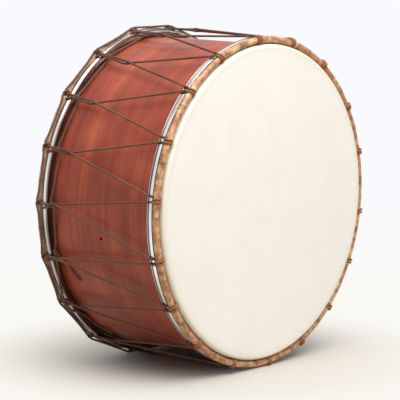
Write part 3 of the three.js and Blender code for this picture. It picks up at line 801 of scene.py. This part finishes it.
def smooth_route(stops, step, closed=True):
    """A smooth curve through the stations: cubic pieces whose slopes come from the neighbours, with a
    parameter that grows by the square root of each chord, and points about a step apart. Returns the points,
    each one's station number, and its distance along the rope."""
    ahead = np.roll(stops, -1, 0)
    chord = np.linalg.norm(ahead[:, :3] - stops[:, :3], axis=1)
    span = np.sqrt(np.maximum(chord, tiny))[:, None]
    slope = (ahead - stops) / span
    before_slope, before_span = np.roll(slope, 1, 0), np.roll(span, 1, 0)
    lengths = before_span + span
    tangent = before_slope + slope - (before_slope * before_span + slope * span) / lengths
    counts = np.maximum(1, np.ceil(chord / step).astype(int))
    if not closed:
        tangent[0], tangent[-1], counts[-1] = slope[0], slope[-2], 1
    number = np.repeat(np.arange(len(stops)), counts)
    first = np.repeat(np.cumsum(counts) - counts, counts)
    t = ((np.arange(len(number)) - first) / np.repeat(counts, counts))[:, None]
    start, end = stops[number], ahead[number]
    leave, arrive = tangent[number] * span[number], np.roll(tangent, -1, 0)[number] * span[number]
    points = (2 * t**3 - 3 * t**2 + 1) * start + (t**3 - 2 * t**2 + t) * leave
    points += (3 * t**2 - 2 * t**3) * end + (t**3 - t**2) * arrive
    steps = np.linalg.norm(np.roll(points, -1, 0)[:, :3] - points[:, :3], axis=1)
    return points, number, np.cumsum(steps) - steps


def rope_skin(points, distance, heading):
    """Rings of the rope: at angle b the section's radius is half the thickness or width times
    1 - d (1 - |cos 1.5 (b - w)|), with w the twist at that distance, so that three lobes wind along it. No
    point goes below the floor. Also gives each point's |cos|."""
    centre, lift = points[:, :3], points[:, 3:6]
    heading = heading / np.linalg.norm(heading, axis=1)[:, None]
    upward = lift - heading * (lift * heading).sum(1)[:, None]
    upward /= np.linalg.norm(upward, axis=1)[:, None]
    across = np.cross(heading, upward)
    section = np.linspace(0, 2 * math.pi, rope_sides, endpoint=False)[None, :]
    twist = 2 * math.pi * distance[:, None] / lay_length
    crown = np.abs(np.cos(rope_strands / 2 * (section - twist)))
    share = (1 - lobe_depth * (1 - crown)) / 2
    rise = (share * np.cos(section) * points[:, 6:7])[..., None]
    spread = (share * np.sin(section) * points[:, 7:8])[..., None]
    rings = centre[:, None] + upward[:, None] * rise + across[:, None] * spread
    rings[..., 2] = np.maximum(rings[..., 2], 0)
    return rings, crown


def rope_piece(name, rings, crown, shading_and_tone, *nodes):
    """Closed tubes, one or several alike, through rings of points, with their crowns and each ring's tone and
    painted shade marked for the material."""
    tubes = rings.reshape(-1, *rings.shape[-3:])
    numbers = np.arange(tubes[..., 0].size).reshape(tubes.shape[:3])
    sides = numbers[:, 0, :1, None] + grid_faces(*tubes.shape[1:3], wrap_rows=False)
    faces = [sides.reshape(-1, 4), numbers[:, 0], numbers[:, -1, ::-1]]
    piece = mesh_object(name, rings.reshape(-1, 3), faces, sharp_above=60)
    mark(piece, "lay_crown", crown)
    mark(piece, "rope_shading_and_tone", np.repeat(shading_and_tone, crown.shape[-1]))
    dress(piece, brown_cord, "rope", *nodes)
    return piece


# Rope: brown laid cord, dull and slightly furry, with a fuzz drawn at 1.1 mm to show. Its lay is painted
# darker in the grooves, as shade, and lighter on the crowns. Its front ties are lighter, and painted shade
# darkens the back knots, the crossings and the rope over the front flesh hoop's lip.
brown_cord, surface = material("brown_laid_cord")
place = add(brown_cord, "ShaderNodeTexCoord").outputs["Object"]
crown = add(brown_cord, "ShaderNodeAttribute", attribute_name="lay_crown").outputs["Fac"]
fray = add(brown_cord, "ShaderNodeTexNoise", {"Vector": place, "Scale": 900.0, "Detail": 3.0})
patches = add(brown_cord, "ShaderNodeTexNoise", {"Vector": place, "Scale": 18.0, "Detail": 2.0})
shading_and_tone = add(brown_cord, "ShaderNodeAttribute", attribute_name="rope_shading_and_tone").outputs["Fac"]
mixed = weighed(
    brown_cord, (fray.outputs["Fac"], fray_share), (crown, groove_shade_weight),
    (patches.outputs["Fac"], patch_share), (shading_and_tone, shading_and_tone_share),
)
tone = add(
    brown_cord, "ShaderNodeValToRGB", {"Fac": mixed},
    stops=[(0.3, colour("22130b")), (0.52, colour("4a2d1d")), (0.75, colour("845a3d"))],
)
tone = add(
    brown_cord, "ShaderNodeMix",
    {mix_share: shading_and_tone, mix_from: tone.outputs["Color"], mix_to: colour("9a6238")},
    data_type="RGBA",
).outputs[mix_result]
relief = add(
    brown_cord, "ShaderNodeBump", {"Height": fray.outputs["Fac"], "Strength": 0.4, "Distance": 0.0003},
)
feed(brown_cord, surface, Base_Color=tone, Normal=relief.outputs[0])
surface.inputs["Roughness"].default_value = 0.75
surface.inputs["Sheen Weight"].default_value = 0.05
surface.inputs["Sheen Roughness"].default_value = 0.5

vees = route()
points, number, distance = smooth_route(vees.reshape(-1, vees.shape[-1]), rope_step)
rings, crown_share = rope_skin(points, distance, np.roll(points[:, :3], -1, 0) - np.roll(points[:, :3], 1, 0))
rings = np.concatenate([rings, rings[:1]])
crown_share = np.concatenate([crown_share, crown_share[:1]])
shading_and_tone = np.append(points[:, 8], points[0, 8])
for tie in range(tie_count):
    start, end = np.searchsorted(number, [tie * vees.shape[1], (tie + 1) * vees.shape[1]])
    part = slice(start, end + 1)
    rope_piece(f"rope_{tie + 1:02d}", rings[part], crown_share[part], shading_and_tone[part], f"lacing_{tie + 1:02d}")

# Rim rope: the same rope runs straight from knot to knot, twice. Outside it starts beside each knot and
# passes in front of the cane, clear of the floor. Inside it goes under the strands, just off the shell, from
# where the short rope end comes out, all round but the last two spans, which the long end covers.
rim_radius = 0.2983
rim_reach = 0.1303
rim_dip = 0.0033
rim_leave = 0.0085
rim_arrive = 0.0012
rim_steps = 97
under_radius = 0.2845
under_arrive = 0.1025
under_leave = 0.1095
under_half = 0.008
under_shares = [0, 0.15, 0.5, 0.85, 1]
under_first = 12
under_last = 10
under_start = around(0.2846, 0.1108, np.radians([255]))


def round_stations(centre):
    """Stations of a round, unworn rope through the centres. Its outer side faces away from the drum's axis:
    (x, 0, z - axis height) divided by its length."""
    away = (centre - (0, 0, axis_height)) * (1, 0, 1)
    away = away / np.linalg.norm(away, axis=-1, keepdims=True)
    sizes = np.broadcast_to([rope_diameter, rope_diameter, 0], centre.shape)
    return np.concatenate([centre, away, sizes], -1)


next_angle = np.append(back_angle[1:], back_angle[0] + 2 * math.pi)
share = np.linspace(0, 1, rim_steps)[None, :, None]
start = around(rim_radius, rim_reach, back_angle + rim_leave / rim_radius)[:, None]
end = around(rim_radius, rim_reach, next_angle + rim_arrive / rim_radius)[:, None]
centre = start + (end - start) * share
centre -= rim_dip * (1 - (2 * share - 1) ** 2) * np.array([0, 1, 0])
centre[..., 2] = np.maximum(centre[..., 2], rope_diameter / 2)
points = round_stations(centre).reshape(-1, 9)
distance = (np.linalg.norm(end - start, axis=2)[:, :, None] * share).ravel()
rings, crown_share = rope_skin(points, distance, np.gradient(centre, axis=1).reshape(-1, 3))
rings = rings.reshape(tie_count, rim_steps, rope_sides, 3)
rope_piece("rim_rope_outer", rings, crown_share, points[:, 8])

share = np.array(under_shares)[None, :, None]
start = around(under_radius, under_leave, back_angle + under_half / under_radius)[:, None]
end = around(under_radius, under_arrive, next_angle - under_half / under_radius)[:, None]
spans = np.roll(start + (end - start) * share, -under_first, 0)
spans = spans[: (under_last - under_first) % tie_count].reshape(-1, 3)
last = around(under_radius, (under_arrive + under_leave) / 2, back_angle[[under_last]])
centre = np.concatenate([under_start, spans[1:], last])
points, number, distance = smooth_route(round_stations(centre), rope_step, closed=False)
rings, crown_share = rope_skin(points, distance, np.gradient(points[:, :3], axis=0))
rope_piece("rim_rope_inner", rings, crown_share, 0 * distance)

# Rope ends: where the lacing begins and stops, they come out from under the strands of one back knot. The
# short one lies on the shell, and the long one is led over the flesh hoop and the next knot's strands and
# back down. A stop is its angle in degrees, and its radius and reach from the drum's middle in millimetres.
sealed_tip = 0.002
tip_squeeze = 0.3
short_end_route = [
    (255, 284.6, 110.8), (254, 283.5, 110.6), (253, 282.3, 109.4), (252, 281.3, 107.4), (251, 280.5, 104.6),
    (250.2, 280.1, 101.6), (249.4, 280, 98.6), (248.5, 280, 95.2), (247.6, 280, 92), (246.8, 280, 89),
    (245.9, 280, 86), (245, 280, 83.2), (244.1, 280, 80.4), (243.2, 280, 77.4), (242.4, 280, 74),
]
long_end_route = [
    (255, 289.2, 108.4), (253.2, 288.9, 107.6), (251.4, 288.6, 107.4), (248.8, 289, 108.6),
    (246, 290.8, 109.8), (243.5, 292.8, 111.6), (241, 293.8, 114), (238.8, 294.2, 116.4), (236.9, 296, 118),
    (235, 297.8, 118.8), (233.3, 298.2, 118.4), (231.7, 297.7, 117.4), (230.2, 295.4, 114.8),
    (228.8, 292, 111.6), (227, 287.6, 110.4), (224.6, 283.6, 110.4), (221.8, 281, 110.4), (219, 280, 109.6),
    (216.8, 280, 107.4), (215.3, 280.2, 102.8), (214.5, 280.8, 97), (214.1, 282, 91), (214, 283.6, 85.4),
    (214.1, 285.6, 80.4),
]
for end, rows, end_length in (("short", short_end_route, 0.073), ("long", long_end_route, 0.233)):
    angle, radius, reach = np.array(rows).T
    stops = round_stations(around(radius / 1000, reach / 1000, np.radians(angle)))
    points, number, distance = smooth_route(stops, rope_step, closed=False)
    left = np.clip((distance[-1] - distance) / sealed_tip, 0, 1)
    points[:, 6:8] *= (1 - tip_squeeze + tip_squeeze * np.sqrt(left))[:, None]
    rings, crown_share = rope_skin(points, distance, np.gradient(points[:, :3], axis=0))
    piece = rope_piece(f"loose_rope_{end}", rings, crown_share, 0 * distance, f"rope_end_{end}")

# Floor and light: a pale paper floor that fades to a white studio some way from the drum, one large soft lamp
# above and in front, and even light all round.
floor_radius = 40.0
floor_lines = 96
fade_start = 0.08
fade_end = 0.5
cool_start = 0.4
cool_end = 2.0
studio_strength = 0.37
lamp_width = 3.5
lamp_power = 166
lamp_place = Vector((-0.58, -1.36, 3.26))


def looked_at(owner):
    """1 where the camera, a mirror or glass looks at a surface, and 0 where it only lights the object: the
    largest of the three kinds of ray."""
    rays = add(owner, "ShaderNodeLightPath").outputs
    seen = rays["Is Camera Ray"]
    for kind in ("Is Glossy Ray", "Is Transmission Ray"):
        seen = add(owner, "ShaderNodeMath", {0: seen, 1: rays[kind]}, operation="MAXIMUM").outputs[0]
    return seen


floor_ring = np.linspace(0, 2 * math.pi, floor_lines, endpoint=False)
floor_points = floor_radius * np.stack([np.cos(floor_ring), np.sin(floor_ring), 0 * floor_ring], 1)

# Backdrop paper: matt, grey-beige by its own light, and plain white to the camera away from the drum.
paper, surface = material("floor_paper")
place = add(paper, "ShaderNodeTexCoord").outputs["Object"]
away = add(paper, "ShaderNodeVectorMath", {0: place}, operation="LENGTH").outputs["Value"]
fade = add(
    paper, "ShaderNodeMapRange", {"Value": away, "From Min": fade_start, "From Max": fade_end},
    interpolation_type="SMOOTHSTEP",
)
seen = add(paper, "ShaderNodeMath", {0: looked_at(paper), 1: fade.outputs[0]}, operation="MULTIPLY")
far = add(
    paper, "ShaderNodeMapRange", {"Value": away, "From Min": cool_start, "From Max": cool_end},
).outputs[0]
tone = add(
    paper, "ShaderNodeMix", {mix_share: far, mix_from: colour("faf8f2"), mix_to: colour("f9fafe")},
    data_type="RGBA",
).outputs[mix_result]
white = add(paper, "ShaderNodeEmission", {"Color": tone, "Strength": 1.0})
surface.inputs["Base Color"].default_value = colour("c0b9ad")
surface.inputs["Roughness"].default_value = 0.9
blend = add(paper, "ShaderNodeMixShader", {0: seen.outputs[0], 1: surface.outputs[0], 2: white.outputs[0]})
output = paper.node_tree.nodes["Material Output"]
paper.node_tree.links.new(blend.outputs[0], output.inputs["Surface"])
floor = mesh_object("floor", floor_points, [np.arange(len(floor_ring))[None, :]])
floor.data.materials.append(paper)

studio = bpy.data.worlds.new("studio")
studio.use_nodes = True
bpy.context.scene.world = studio
even = studio.node_tree.nodes["Background"]
even.inputs["Color"].default_value = colour("fbfbff")
even.inputs["Strength"].default_value = studio_strength
white = add(studio, "ShaderNodeBackground", {"Color": colour("f9fafe"), "Strength": 1.0})
blend = add(studio, "ShaderNodeMixShader", {0: looked_at(studio), 1: even.outputs[0], 2: white.outputs[0]})
studio.node_tree.links.new(blend.outputs[0], studio.node_tree.nodes["World Output"].inputs["Surface"])

lamp_data = bpy.data.lights.new("soft_lamp", "AREA")
lamp_data.shape = "DISK"
lamp_data.size = lamp_width
lamp_data.energy = lamp_power
lamp = bpy.data.objects.new("soft_lamp", lamp_data)
bpy.context.scene.collection.objects.link(lamp)
lamp_aim = lamp_place - Vector((0, 0, axis_height))
lamp.matrix_world = Matrix.Translation(lamp_place) @ lamp_aim.to_track_quat("Z", "Y").to_matrix().to_4x4()

bpy.context.scene.view_settings.view_transform = "Standard"
